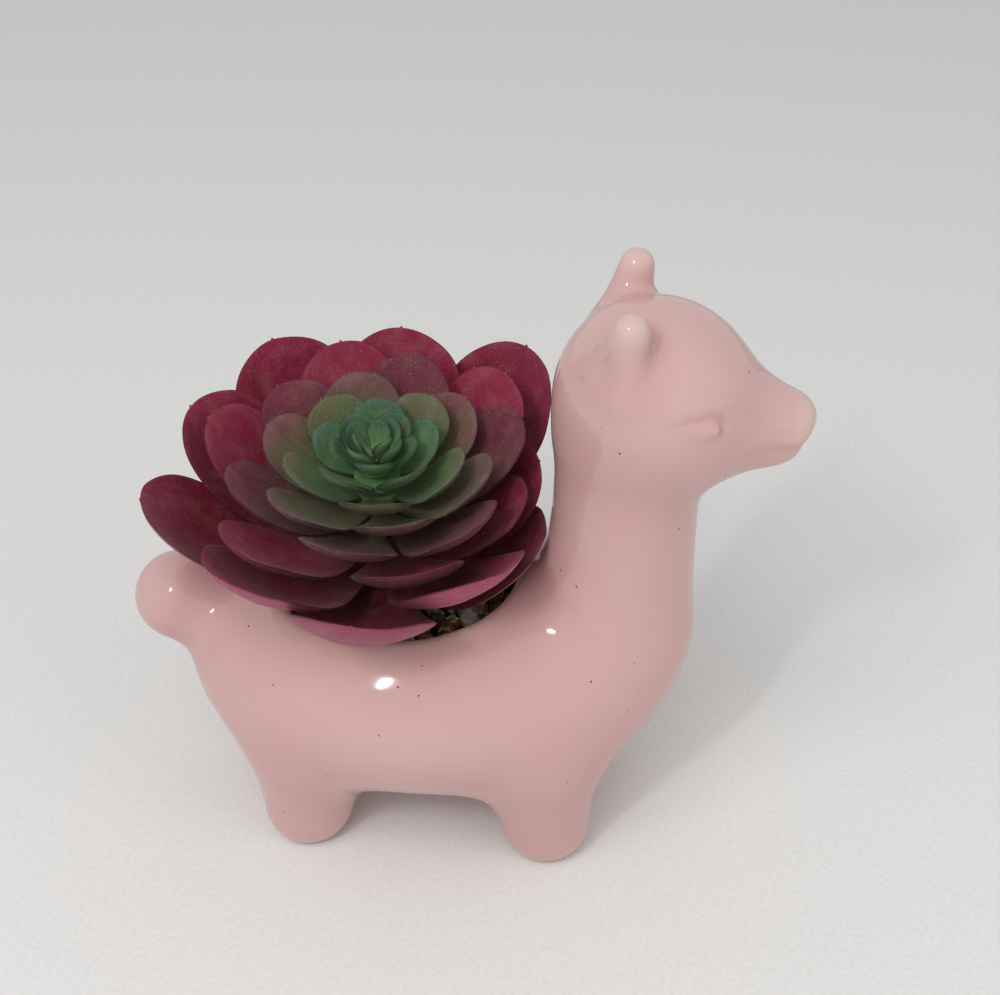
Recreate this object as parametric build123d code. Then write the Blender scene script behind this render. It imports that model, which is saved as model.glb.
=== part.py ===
from build123d import *
import math
import os
import random

# Animal shaped planter: a glazed ceramic pot in the form of a standing alpaca, with a block of
# foam in its belly, loose-looking gravel on the foam and a moulded rosette succulent on a pick.
# Lengths are millimetres. +X points to the nose and +Z up. The origin lies on the ground, below
# the middle of the overall length.

# Torso
TORSO_HALF_LENGTH = 53.5
TORSO_HALF_WIDTH = 36.0
TORSO_HALF_HEIGHT = 26.4
TORSO_HEIGHT = 38.0
WALL = 4.0

# Shoulder, neck and head. Sections fan about one point above the shoulder and one at the throat
SHOULDER_AHEAD = 20.0
SHOULDER_HEIGHT = 78.0
NECK_RADIUS = 15.4
NECK_AHEAD = 43.2
THROAT_BEYOND_NECK = 24.8
THROAT_HEIGHT = 84.0
HEAD_REACH = 31.2
HEAD_HALF_DEPTH = 21.6
HEAD_HALF_WIDTH = 19.3
NOSE_RADIUS = 8.5
NOSE_BEYOND_THROAT = 12.7
NOSE_ABOVE_THROAT = 21.2

# Ears
EAR_BEHIND_THROAT = 26.4
EAR_SIDE = 10.8
EAR_ABOVE_THROAT = 34.0
EAR_LENGTH = 16.6
EAR_BASE_RADIUS = 8.0
EAR_TIP_RADIUS = 3.0
EAR_SPLAY_ANGLE = 17.0
EAR_RAKE_ANGLE = 10.0

# Tail
TAIL_BEHIND = 56.3
TAIL_HEIGHT = 51.0
TAIL_RADIUS = 10.1
TAIL_ROOT_BEHIND = 40.0
TAIL_ROOT_HEIGHT = 41.0
TAIL_ROOT_RADIUS = 13.0

# Legs
HIND_LEG_BEHIND = 25.8
FORE_LEG_AHEAD = 28.9
LEG_SIDE = 18.25
LEG_TOP = 32.0
LEG_TOP_RADIUS = 11.0
LEG_RADIUS = 10.2
LEG_STRAIGHT_TOP = 13.5
FOOT_RADIUS = 6.7
FOOT_ROUND = 7.0
THIGH_INWARD = 9.0
THIGH_CENTREWARD = 6.5
THIGH_TOP = 27.0
THIGH_FOOT = 12.5
THIGH_TOP_RADIUS = 14.5
THIGH_FOOT_RADIUS = 10.1

# Mouth in the back
MOUTH_BEHIND = 5.8
MOUTH_HALF_LENGTH = 27.0
MOUTH_HALF_WIDTH = 21.8
MOUTH_TOP = 80.0

# Foam block inside the belly
FOAM_TOP = 51.0
FOAM_OVERSIZE = 3.0
FOAM_CLEARANCE = 0.3
CUT_OVERRUN = 5.0

# Gravel on the foam
STONE_PITCH = 5.1
STONE_RADIUS = 2.15
STONE_HEIGHT = 4.2
STONE_JITTER = 0.28
STONE_WALL_GAP = 0.5
STONE_STEM_GAP = 1.0
STONE_CORNERS = 6
STONE_SEED = 11
STONE_ROW_ANGLE = 60.0
STONE_level_shares = ((0.0, 0.70), (0.42, 1.0), (1.0, 0.52))
STONE_tall_shares = (0.72, 1.0)
STONE_reach_shares = (0.86, 1.0)
STONE_COLOUR_shares = {"gravel_dark": 5, "gravel_amber": 3, "gravel_white": 2}

# Pick that the rosette is pressed on
STEM_BEHIND = 9.6
STEM_SIDE = 8.2
STEM_LEAN_ANGLE = 10.0
STEM_RADIUS = 1.6
STAKE_RADIUS = 2.0
STAKE_LENGTH = 24.0
STAKE_TIP_LENGTH = 5.0
STAKE_TIP_RADIUS = 0.5
STAKE_CLEARANCE = 0.3
COLLAR_RADIUS = 4.5
COLLAR_HEIGHT = 9.0
SEAT_DEPTH = 1.5
SEAT_CLEARANCE = 0.4

# Leaf whorls
HUB_RADIUS = 4.2
HUB_HEIGHT = 4.2
HUB_CLEARANCE = 0.1
LEAF_THICKNESS = 1.0
LEAF_EDGE = 0.4
LEAF_ROOT_REACH = 3.2
LEAF_ROOT_HALF_WIDTH = 1.9
LEAF_TIP_HALF_WIDTH = 0.7
LEAF_CURL_ANGLE = 20.0
NECK_GAP = 1.2
LAYER_GAP = 1.8
NECK_SECTOR_ANGLE = 60.0

# Each whorl: leaves, first azimuth in degrees, then reach, tip height above the seat of the
# stem, leaf half width and cup depth as shares of those of the lowest whorl
WHORL_REACH = 49.0
WHORL_TIP_HEIGHT = 37.0
WHORL_HALF_WIDTH = 15.0
WHORL_CUP = 4.2
WHORL_shares = (
    (5, 200.0, 1.00, 1.00, 1.00, 1.00),
    (5, 236.0, 0.92, 1.06, 0.93, 0.90),
    (6, 230.0, 0.79, 1.11, 0.72, 0.65),
    (6, 202.0, 0.65, 1.16, 0.60, 0.55),
    (6, 228.0, 0.52, 1.19, 0.48, 0.45),
    (5, 204.0, 0.39, 1.22, 0.42, 0.40),
    (5, 240.0, 0.26, 1.24, 0.31, 0.30),
)

# Leaf outline along its length: station and half width as shares of length and widest half width
LEAF_shares = (
    (0.00, 0.00),
    (0.22, 0.38),
    (0.45, 0.79),
    (0.68, 1.00),
    (0.86, 0.88),
    (0.96, 0.51),
)

# Heart bud
BUD_RADIUS = 3.0
BUD_TIP_RADIUS = 1.5
BUD_HEIGHT = 7.0
BUD_LEAVES = 4
BUD_LEAF_HEIGHT = 7.0
BUD_LEAF_RADIUS = 2.6
BUD_LEAF_TIP_RADIUS = 1.3
BUD_LEAF_REACH = 2.2
BUD_LEAF_LEAN_ANGLE = 10.0

QUARTER_STEPS = 6

THROAT_AHEAD = NECK_AHEAD + THROAT_BEYOND_NECK
NOSE_AHEAD = THROAT_AHEAD + NOSE_BEYOND_THROAT
NOSE_HEIGHT = THROAT_HEIGHT + NOSE_ABOVE_THROAT
TORSO_X = (TAIL_BEHIND + TAIL_RADIUS - NOSE_AHEAD) / 2

# Centre of each section from the pivot, half depth and half width on the way from torso to neck
SHOULDER_shares = (
    (12, 0.83, 1.06, 0.83),
    (28, 0.70, 0.98, 0.50),
    (44, 0.48, 0.74, 0.21),
    (58, 0.25, 0.40, 0.06),
    (72, 0.07, 0.11, 0.01),
)

# Centre of each section from the throat pivot, half depth and half width of the head
HEAD_shares = (
    (12, 0.80, 0.72, 0.79),
    (26, 0.88, 0.82, 0.85),
    (40, 0.97, 0.95, 0.955),
    (54, 1.00, 1.00, 1.00),
    (66, 0.96, 0.935, 0.93),
    (76, 0.88, 0.81, 0.79),
    (90, 0.715, 0.53, 0.565),
)

RUMP_ANGLES = (78, 62, 44, 26, 8, -8)
NOSE_ANGLES = (4, 28, 54, 74)


def ring(plane, half_depth, half_width):
    """Oval wire of four smooth quarters, starting at the underside."""

    def spot(turn):
        local = Vector(half_depth * math.cos(turn), half_width * math.sin(turn), 0)
        return plane.from_local_coords(local)

    def heading(turn):
        local = Vector(-half_depth * math.sin(turn), half_width * math.cos(turn), 0)
        return plane.from_local_coords(local) - plane.origin

    steps = [index / QUARTER_STEPS for index in range(QUARTER_STEPS + 1)]
    edges = []
    for quarter in range(4):
        turns = [(quarter + step) * math.pi / 2 for step in steps]
        ends = [heading(turns[0]), heading(turns[-1])]
        points = [spot(turn) for turn in turns]
        edges.append(Edge.make_spline(points, tangents=ends, parameters=steps))
    return Wire(edges)


def torso_plane(x, z, turn=0.0):
    """Plane across the trunk: turn 0 stands upright, 90 lies level as across the neck."""
    angle = math.radians(turn)
    down = (math.sin(angle), 0, -math.cos(angle))
    along = (math.cos(angle), 0, math.sin(angle))
    return Plane(origin=(x, 0, z), x_dir=down, z_dir=along)


def head_plane(x, z, turn):
    """Plane across the head: turn 0 lies level, 90 stands upright as across the muzzle."""
    angle = math.radians(turn)
    inward = (math.cos(angle), 0, -math.sin(angle))
    along = (math.sin(angle), 0, math.cos(angle))
    return Plane(origin=(x, 0, z), x_dir=inward, z_dir=along)


def trunk(inset=0.0):
    """Rump, torso, shoulder, neck, head and muzzle as one swelling form, or its hollow."""
    half_length = TORSO_HALF_LENGTH - inset
    half_width = TORSO_HALF_WIDTH - inset
    half_height = TORSO_HALF_HEIGHT - inset
    sections = [Vertex(TORSO_X - half_length, 0, TORSO_HEIGHT)]
    for turn in RUMP_ANGLES:
        angle = math.radians(turn)
        plane = torso_plane(TORSO_X - half_length * math.sin(angle), TORSO_HEIGHT)
        sections.append(ring(plane, half_height * math.cos(angle), half_width * math.cos(angle)))
    fall = math.cos(math.asin(SHOULDER_AHEAD / TORSO_HALF_LENGTH))
    front_depth = TORSO_HALF_HEIGHT * fall
    front_width = TORSO_HALF_WIDTH * fall
    plane = torso_plane(TORSO_X + SHOULDER_AHEAD, TORSO_HEIGHT)
    sections.append(ring(plane, front_depth - inset, front_width - inset))
    far = SHOULDER_HEIGHT - TORSO_HEIGHT
    near = NECK_AHEAD - SHOULDER_AHEAD
    for turn, centre, depth, width in SHOULDER_shares:
        angle = math.radians(turn)
        reach = near + (far - near) * centre
        x = TORSO_X + SHOULDER_AHEAD + reach * math.sin(angle)
        z = SHOULDER_HEIGHT - reach * math.cos(angle)
        half_depth = NECK_RADIUS + (front_depth - NECK_RADIUS) * depth - inset
        half_side = NECK_RADIUS + (front_width - NECK_RADIUS) * width - inset
        sections.append(ring(torso_plane(x, z, turn), half_depth, half_side))
    plane = torso_plane(TORSO_X + NECK_AHEAD, SHOULDER_HEIGHT, 90)
    sections.append(ring(plane, NECK_RADIUS - inset, NECK_RADIUS - inset))
    for turn, centre, depth, width in HEAD_shares:
        angle = math.radians(turn)
        x = TORSO_X + THROAT_AHEAD - HEAD_REACH * centre * math.cos(angle)
        z = THROAT_HEIGHT + HEAD_REACH * centre * math.sin(angle)
        half_depth = HEAD_HALF_DEPTH * depth - inset
        half_side = HEAD_HALF_WIDTH * width - inset
        sections.append(ring(head_plane(x, z, turn), half_depth, half_side))
    nose_x = TORSO_X + NOSE_AHEAD - NOSE_RADIUS
    radius = NOSE_RADIUS - inset
    for turn in NOSE_ANGLES:
        angle = math.radians(turn)
        plane = torso_plane(nose_x + radius * math.sin(angle), NOSE_HEIGHT)
        sections.append(ring(plane, radius * math.cos(angle), radius * math.cos(angle)))
    sections.append(Vertex(nose_x + radius, 0, NOSE_HEIGHT))
    return Solid.make_loft(sections)


def leg():
    """One stubby leg about its own axis: rounded foot, straight shank, flare into the belly."""
    with BuildPart() as built:
        with BuildSketch(Plane.XZ):
            with BuildLine():
                Line((0, 0), (FOOT_RADIUS, 0))
                TangentArc((FOOT_RADIUS, 0), (LEG_RADIUS, FOOT_ROUND), tangent=(2, 1))
                Line((LEG_RADIUS, FOOT_ROUND), (LEG_RADIUS, LEG_STRAIGHT_TOP))
                TangentArc((LEG_RADIUS, LEG_STRAIGHT_TOP), (LEG_TOP_RADIUS, LEG_TOP), tangent=(0, 1))
                Polyline((LEG_TOP_RADIUS, LEG_TOP), (0, LEG_TOP), (0, 0))
            make_face()
        revolve(axis=Axis.Z)
    return built.part


def pointed_round(length, root_radius, tip_radius):
    """Blunt tapering finger along +Z with a ball end whose top is at the given length."""
    ball = length - tip_radius
    with BuildPart() as built:
        with BuildSketch(Plane.XZ):
            with BuildLine():
                Polyline((0, length), (0, 0), (root_radius, 0))
                TangentArc((tip_radius, ball), (root_radius, 0), tangent=(0, -1))
                CenterArc((0, ball), tip_radius, 0, 90)
            make_face()
        revolve(axis=Axis.Z)
    return built.part


def ear(side):
    """One upright ear, leaning out to its side and a little back."""
    spike = pointed_round(EAR_LENGTH, EAR_BASE_RADIUS, EAR_TIP_RADIUS)
    ahead = TORSO_X + THROAT_AHEAD - EAR_BEHIND_THROAT
    place = Location((ahead, side * EAR_SIDE, THROAT_HEIGHT + EAR_ABOVE_THROAT))
    return place * Rot(-side * EAR_SPLAY_ANGLE, EAR_RAKE_ANGLE, 0) * spike


def thigh(ahead, side):
    """Swelling from the belly down into one leg, leaning in towards the middle of the animal."""
    inward = -THIGH_CENTREWARD if ahead > 0 else THIGH_CENTREWARD
    foot = Vector(TORSO_X + ahead, side * LEG_SIDE, THIGH_FOOT)
    top = Vector(TORSO_X + ahead + inward, side * (LEG_SIDE - THIGH_INWARD), THIGH_TOP)
    run = foot - top
    swelling = pointed_round(run.length + THIGH_FOOT_RADIUS, THIGH_TOP_RADIUS, THIGH_FOOT_RADIUS)
    return Plane(origin=top, z_dir=run).location * swelling


def tail():
    """Bobbed tail: a ball on a flared root."""
    run = Vector(TAIL_ROOT_BEHIND - TAIL_BEHIND, 0, TAIL_HEIGHT - TAIL_ROOT_HEIGHT)
    with BuildPart() as built:
        with BuildSketch(Plane.XZ):
            with BuildLine():
                Polyline((0, run.length + TAIL_RADIUS), (0, 0), (TAIL_ROOT_RADIUS, 0))
                Line((TAIL_ROOT_RADIUS, 0), (TAIL_RADIUS, run.length))
                CenterArc((0, run.length), TAIL_RADIUS, 0, 90)
            make_face()
        revolve(axis=Axis.Z)
    root = Plane(origin=(TORSO_X - TAIL_ROOT_BEHIND, 0, TAIL_ROOT_HEIGHT), z_dir=run)
    return root.location * built.part


def oval_prism(half_length, half_width, bottom, top):
    """Upright oval block about the middle of the mouth."""
    plane = Plane(origin=(TORSO_X - MOUTH_BEHIND, 0, bottom))
    return extrude(plane * Ellipse(half_length, half_width), top - bottom)


def planter_body():
    """Glazed shell: one hollow casting with legs, tail and ears, open at the back."""
    body = trunk()
    for ahead in (-HIND_LEG_BEHIND, FORE_LEG_AHEAD):
        for side in (-1, 1):
            body = body + thigh(ahead, side)
            body = body + Location((TORSO_X + ahead, side * LEG_SIDE, 0)) * leg()
    body = body + tail()
    for side in (-1, 1):
        body = body + ear(side)
    mouth = oval_prism(MOUTH_HALF_LENGTH, MOUTH_HALF_WIDTH, TORSO_HEIGHT, MOUTH_TOP)
    hollow = trunk(WALL) + mouth
    return body - hollow


def stem_place():
    """Seat of the stem in the foam, leaning to the animal's right."""
    x = TORSO_X - STEM_BEHIND
    return Location((x, STEM_SIDE, FOAM_TOP - SEAT_DEPTH)) * Rot(STEM_LEAN_ANGLE, 0, 0)


def foam_plug():
    """Foam block wedged in the belly, with the hole and seat of the stem."""
    blank = oval_prism(
        MOUTH_HALF_LENGTH + FOAM_OVERSIZE,
        MOUTH_HALF_WIDTH + FOAM_OVERSIZE,
        TORSO_HEIGHT - TORSO_HALF_HEIGHT,
        FOAM_TOP,
    )
    block = trunk(WALL + FOAM_CLEARANCE) & blank
    depth = STAKE_LENGTH + CUT_OVERRUN
    hole = Pos(0, 0, -depth / 2) * Cylinder(STAKE_RADIUS + STAKE_CLEARANCE, depth)
    seat = Pos(0, 0, CUT_OVERRUN / 2) * Cylinder(COLLAR_RADIUS + SEAT_CLEARANCE, CUT_OVERRUN)
    return block - stem_place() * (hole + seat)


def stone(chance):
    """One broken pebble with a flat base: a wider girdle between a base and a smaller crown."""
    turn = chance.uniform(0, 360)
    tall = STONE_HEIGHT * chance.uniform(*STONE_tall_shares)
    rings = []
    for level, spread in STONE_level_shares:
        points = []
        for corner in range(STONE_CORNERS):
            angle = math.radians(turn + 360 * corner / STONE_CORNERS)
            reach = STONE_RADIUS * spread * chance.uniform(*STONE_reach_shares)
            points.append((reach * math.cos(angle), reach * math.sin(angle), tall * level))
        rings.append(Wire.make_polygon(points, close=True))
    return Solid.make_loft(rings, ruled=True)


def stone_places(chance):
    """Staggered rows of places inside the mouth, clear of its wall and of the stem's collar."""
    reach_x = MOUTH_HALF_LENGTH - STONE_WALL_GAP - STONE_RADIUS
    reach_y = MOUTH_HALF_WIDTH - STONE_WALL_GAP - STONE_RADIUS
    row_step = STONE_PITCH * math.sin(math.radians(STONE_ROW_ANGLE))
    rows = math.ceil(reach_y / row_step)
    columns = math.ceil(reach_x / STONE_PITCH) + 1
    collar_room = COLLAR_RADIUS + SEAT_CLEARANCE + STONE_STEM_GAP + STONE_RADIUS
    places = []
    for row in range(-rows, rows + 1):
        for column in range(-columns, columns + 1):
            x = (column + (row % 2) / 2) * STONE_PITCH + chance.uniform(-1, 1) * STONE_JITTER
            y = row * row_step + chance.uniform(-1, 1) * STONE_JITTER
            inside = (x / reach_x) ** 2 + (y / reach_y) ** 2 <= 1
            stem_x = MOUTH_BEHIND - STEM_BEHIND
            clear = math.hypot(x - stem_x, y - STEM_SIDE) >= collar_room
            if inside and clear:
                places.append((TORSO_X - MOUTH_BEHIND + x, y))
    return places


def gravel():
    """Stones in three colours, one group of separate solids each."""
    chance = random.Random(STONE_SEED)
    groups = {name: [] for name in STONE_COLOUR_shares}
    for x, y in stone_places(chance):
        name = chance.choices(list(groups), weights=STONE_COLOUR_shares.values())[0]
        groups[name].append(Pos(x, y, FOAM_TOP) * stone(chance))
    return {name: Compound(children=stones) for name, stones in groups.items()}


def stem():
    """Moulded pick: stake in the foam, collar on its seat and thin upper pin for the hubs."""
    pin_top = COLLAR_HEIGHT + HUB_HEIGHT * len(WHORL_shares) + HUB_HEIGHT
    with BuildPart() as built:
        with BuildSketch(Plane.XZ):
            with BuildLine():
                Polyline(
                    (0, pin_top),
                    (STEM_RADIUS, pin_top),
                    (STEM_RADIUS, COLLAR_HEIGHT),
                    (COLLAR_RADIUS, COLLAR_HEIGHT),
                    (COLLAR_RADIUS, 0),
                    (STAKE_RADIUS, 0),
                    (STAKE_RADIUS, STAKE_TIP_LENGTH - STAKE_LENGTH),
                    (STAKE_TIP_RADIUS, -STAKE_LENGTH),
                    (0, -STAKE_LENGTH),
                    close=True,
                )
            make_face()
        revolve(axis=Axis.Z)
    return built.part


def leaf_room(azimuth, level):
    """How far a leaf may reach at this azimuth before it meets the neck or the layer below."""
    neck_back = NECK_AHEAD - NECK_RADIUS + STEM_BEHIND - NECK_GAP - LAYER_GAP * level
    toward = math.cos(math.radians(azimuth))
    if toward < math.cos(math.radians(NECK_SECTOR_ANGLE)):
        return math.inf
    return neck_back / toward


def crescent(plane, half_width, cup):
    """Closed section of a cupped leaf: low middle, raised thin margins."""
    edge = min(LEAF_EDGE, half_width)
    low = [plane.from_local_coords((side * half_width, cup * side * side, 0)) for side in (-1, 0, 1)]
    top = []
    for side in (1, 0, -1):
        rise = cup + edge if side else LEAF_THICKNESS
        top.append(plane.from_local_coords((side * half_width, rise, 0)))
    return Wire([
        Edge.make_three_point_arc(low[0], low[1], low[2]),
        Edge.make_line(low[2], top[0]),
        Edge.make_three_point_arc(top[0], top[1], top[2]),
        Edge.make_line(top[2], low[0]),
    ])


def leaf(root_height, reach, tip_height, half_width, cup, room):
    """Spoon-shaped leaf along +X, curling up to its tip. It ends early where room is short."""
    rise = tip_height - root_height
    run = reach - LEAF_ROOT_REACH
    curl = math.radians(LEAF_CURL_ANGLE)
    start = math.atan2(rise, run) - curl
    radius = math.hypot(run, rise) / 2 / math.sin(curl)
    end = math.asin((min(reach, room) - LEAF_ROOT_REACH) / radius + math.sin(start))
    sections = []
    outline = LEAF_shares + ((1.0, LEAF_TIP_HALF_WIDTH / half_width),)
    for station, width in outline:
        heading = start + (end - start) * station
        x = LEAF_ROOT_REACH + radius * (math.sin(heading) - math.sin(start))
        z = root_height + radius * (math.cos(start) - math.cos(heading))
        along = (math.cos(heading), 0, math.sin(heading))
        plane = Plane(origin=(x, 0, z), x_dir=(0, 1, 0), z_dir=along)
        section_width = LEAF_ROOT_HALF_WIDTH + (half_width - LEAF_ROOT_HALF_WIDTH) * width
        if station == 1.0:
            section_width = LEAF_TIP_HALF_WIDTH
        sections.append(crescent(plane, section_width, cup * (section_width / half_width) ** 2))
    return Solid.make_loft(sections)


def leaf_whorl(level):
    """One moulded layer: a hub ring with its leaves, threaded on the stem."""
    count, first, reach, tip_height, half_width, cup = WHORL_shares[level]
    bottom = COLLAR_HEIGHT + HUB_HEIGHT * level
    middle = bottom + HUB_HEIGHT / 2
    whorl = Pos(0, 0, middle) * Cylinder(HUB_RADIUS, HUB_HEIGHT)
    for index in range(count):
        azimuth = first + 360 * index / count
        blade = leaf(
            middle - LEAF_THICKNESS / 2,
            WHORL_REACH * reach,
            WHORL_TIP_HEIGHT * tip_height,
            WHORL_HALF_WIDTH * half_width,
            WHORL_CUP * cup,
            leaf_room(azimuth, level),
        )
        whorl = whorl + Rot(0, 0, azimuth) * blade
    bore = Pos(0, 0, middle) * Cylinder(STEM_RADIUS + HUB_CLEARANCE, HUB_HEIGHT + CUT_OVERRUN)
    return whorl - bore


def heart_bud():
    """Closed heart of the rosette: a small core with upright leaflets, capping the stem."""
    bottom = COLLAR_HEIGHT + HUB_HEIGHT * len(WHORL_shares)
    bud = Pos(0, 0, bottom + HUB_HEIGHT) * Cylinder(BUD_RADIUS, 2 * HUB_HEIGHT)
    core = pointed_round(BUD_HEIGHT, BUD_RADIUS, BUD_TIP_RADIUS)
    bud = bud + Pos(0, 0, bottom + HUB_HEIGHT) * core
    for index in range(BUD_LEAVES):
        leaflet = pointed_round(BUD_LEAF_HEIGHT, BUD_LEAF_RADIUS, BUD_LEAF_TIP_RADIUS)
        place = Rot(0, 0, 360 * index / BUD_LEAVES) * Pos(BUD_LEAF_REACH, 0, bottom + HUB_HEIGHT)
        bud = bud + place * Rot(0, BUD_LEAF_LEAN_ANGLE, 0) * leaflet
    depth = HUB_HEIGHT + HUB_CLEARANCE
    socket = Pos(0, 0, bottom + depth / 2) * Cylinder(STEM_RADIUS + HUB_CLEARANCE, depth)
    return bud - socket


os.makedirs("parts", exist_ok=True)
export_step(planter_body(), "parts/planter_body.step")
export_step(foam_plug(), "parts/foam_plug.step")
for name, stones in gravel().items():
    export_step(stones, f"parts/{name}.step")
export_step(stem_place() * stem(), "parts/stem.step")
for level in range(len(WHORL_shares)):
    export_step(stem_place() * leaf_whorl(level), f"parts/leaf_whorl_{level + 1}.step")
export_step(stem_place() * heart_bud(), "parts/heart_bud.step")
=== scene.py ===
import math

import bpy
import numpy as np
from mathutils import Matrix, Vector


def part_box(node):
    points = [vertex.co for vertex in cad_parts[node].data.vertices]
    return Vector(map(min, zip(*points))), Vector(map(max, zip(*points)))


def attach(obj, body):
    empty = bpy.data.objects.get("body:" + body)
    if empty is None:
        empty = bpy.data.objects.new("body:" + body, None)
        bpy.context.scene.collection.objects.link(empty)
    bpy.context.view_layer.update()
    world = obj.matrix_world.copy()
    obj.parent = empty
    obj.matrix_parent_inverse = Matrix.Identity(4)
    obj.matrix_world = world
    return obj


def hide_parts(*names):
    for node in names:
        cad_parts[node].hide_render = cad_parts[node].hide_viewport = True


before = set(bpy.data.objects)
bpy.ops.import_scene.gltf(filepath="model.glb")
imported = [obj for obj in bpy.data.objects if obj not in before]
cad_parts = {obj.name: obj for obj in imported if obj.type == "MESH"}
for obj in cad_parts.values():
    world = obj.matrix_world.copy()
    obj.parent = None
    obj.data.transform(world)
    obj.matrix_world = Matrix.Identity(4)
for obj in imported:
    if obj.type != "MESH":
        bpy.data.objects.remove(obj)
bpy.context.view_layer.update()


# The animal stands sideways on, nose to the right, and is seen from above at arm's length
# with an ordinary phone lens.
camera_place = (0.04023, -0.27836, 0.27310)
camera_azimuth = math.radians(6.26)
camera_elevation = math.radians(34.25)
camera_roll = math.radians(-0.31)
camera_lens = 57.55

camera_data = bpy.data.cameras.new("viewpoint")
camera_data.lens = camera_lens
camera_data.sensor_width = 36.0
camera_data.clip_start = 0.01
camera = bpy.data.objects.new("viewpoint", camera_data)
bpy.context.scene.collection.objects.link(camera)
camera.matrix_world = (
    Matrix.Translation(camera_place)
    @ Matrix.Rotation(camera_azimuth, 4, "Z")
    @ Matrix.Rotation(math.pi / 2 - camera_elevation, 4, "X")
    @ Matrix.Rotation(camera_roll, 4, "Z")
)
bpy.context.scene.camera = camera


# The pot is one hollow slip casting in white earthenware: rump, belly, neck, head, ears, bobbed
# tail and four stub legs, open at the back. It is dipped in a glossy pale pink glaze, which
# runs soft over every edge, and the soles of the feet are wiped bare.
torso_centre = (-0.00715, 0, 0.03803)
torso_radii = (0.05345, 0.03593, 0.02634)
chest_centre = (0.03541, 0, 0.05443)
chest_radius = 0.01597
throat_centre = (0.03649, 0, 0.09710)
throat_radius = 0.01494
neck_blend = 0.01723
head_centre = (0.04085, 0, 0.11111)
head_radii = (0.01981, 0.01929, 0.01861)
head_blend = 0.00957
muzzle_root = (0.04820, 0, 0.10564)
muzzle_root_radius = 0.01410
muzzle_tip = (0.06670, 0, 0.10455)
muzzle_tip_radius = 0.00735
muzzle_blend = 0.00657
nose_end = (0.0726, 0, 0.1036)
nose_slant = (0.82, 0, -0.57)
nose_blend = 0.0024
ear_root = (0.03600, 0.01360, 0.11780)
ear_root_radius = 0.00450
ear_tip = (0.03610, 0.01430, 0.13110)
ear_tip_radius = 0.00270
ear_heel = (0.03120, 0.01020, 0.12080)
ear_heel_radius = 0.00360
ear_blend = 0.00330
tail_root = (-0.05091, 0, 0.04523)
tail_root_radius = 0.00878
tail_ball = (-0.06338, 0, 0.05101)
tail_ball_radius = 0.01010
tail_blend = 0.00637
leg_places = ((-0.03234, -0.03301), (0.02076, 0.02171))
leg_side = 0.01825
leg_top_height = 0.024
leg_top_radius = 0.01133
leg_foot_height = 0.00761
leg_foot_radius = 0.01011
leg_blend = 0.01196
sole_round = 0.0016

wall = 0.004
mouth_centre_x = -0.01295
mouth_half_length = 0.0264
mouth_half_width = 0.0203
mouth_floor = 0.038
lip_round = 0.0030

# Eyelid, its crease and inner corner, then the lips, on the side of positive Y
lid_centre = (0.05080, 0.01570, 0.11180)
lid_radii = (0.0034, 0.0017, 0.0014)
lid_blend = 0.0016
crease_line = (
    (0.0405, 0.0195, 0.1130, -0.00150),
    (0.0450, 0.0188, 0.1134, -0.00040),
    (0.0485, 0.0177, 0.1140, 0.00000),
    (0.0521, 0.0160, 0.1140, 0.00020),
    (0.0540, 0.0149, 0.1134, 0.00040),
    (0.0545, 0.0147, 0.1122, 0.00070),
    (0.0542, 0.0151, 0.1111, 0.00040),
    (0.0535, 0.0158, 0.1100, -0.00090),
)
lip_line = (
    (0.0590, 0.0113, 0.1029, -0.00140),
    (0.0620, 0.0102, 0.1030, -0.00030),
    (0.0665, 0.0082, 0.1027, 0.00010),
    (0.0695, 0.0066, 0.1024, 0.00010),
    (0.0712, 0.0046, 0.1022, -0.00020),
    (0.0720, 0.0022, 0.1021, -0.00040),
    (0.0722, 0.0000, 0.1021, -0.00040),
)
carve_blend = 0.0016
lower_lip_centre = (0.0630, 0, 0.1001)
lower_lip_radii = (0.0076, 0.0070, 0.0034)
lower_lip_blend = 0.0026

coarse_step = 0.00125
fine_step = 0.00062
fine_from = (0.0400, 0, 0.0960)
fine_to = (0.0750, 0, 0.1170)
settle_passes = 4
run_step = 0.0010
run_passes = 24
run_sharpness = 600


def ellipsoid(points, centre, radii):
    """Distance from points to an ellipsoid, near enough close to its surface."""
    away = points - np.array(centre)
    radii = np.array(radii)
    near = np.linalg.norm(away / radii, axis=-1)
    steep = np.linalg.norm(away / radii**2, axis=-1)
    return near * (near - 1) / np.maximum(steep, 1e-9)


def finger(points, start, end, start_radius, end_radius):
    """Distance from points to a ball that grows or shrinks on its way from start to end."""
    start = np.array(start)
    run = np.array(end) - start
    length = run @ run
    taper = start_radius - end_radius
    slant = length - taper * taper
    away = points - start
    reach = away @ run
    side = ((away * length - reach[..., None] * run) ** 2).sum(-1)
    back = reach * reach * length
    beyond = (reach - length) ** 2 * length
    limit = np.sign(taper) * taper * taper * side
    distance = (np.sqrt(side * slant / length) + reach * taper) / length - start_radius
    at_start = np.sign(reach) * slant * back < limit
    distance = np.where(at_start, np.sqrt(side + back) / length - start_radius, distance)
    at_end = np.sign(reach - length) * slant * beyond > limit
    return np.where(at_end, np.sqrt(side + beyond) / length - end_radius, distance)


def melt(one, other, blend):
    """Join two distances with a rounded hollow where they meet."""
    overlap = np.maximum(1 - np.abs(one - other) / (1.5 * blend), 0)
    return np.minimum(one, other) - overlap**3 * blend / 4


def groove(points, line):
    """Distance to a line of joined fingers, each point of the line with its own radius."""
    distance = np.full(points.shape[:-1], 1.0)
    for start, end in zip(line[:-1], line[1:]):
        distance = np.minimum(distance, finger(points, start[:3], end[:3], start[3], end[3]))
    return distance


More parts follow.
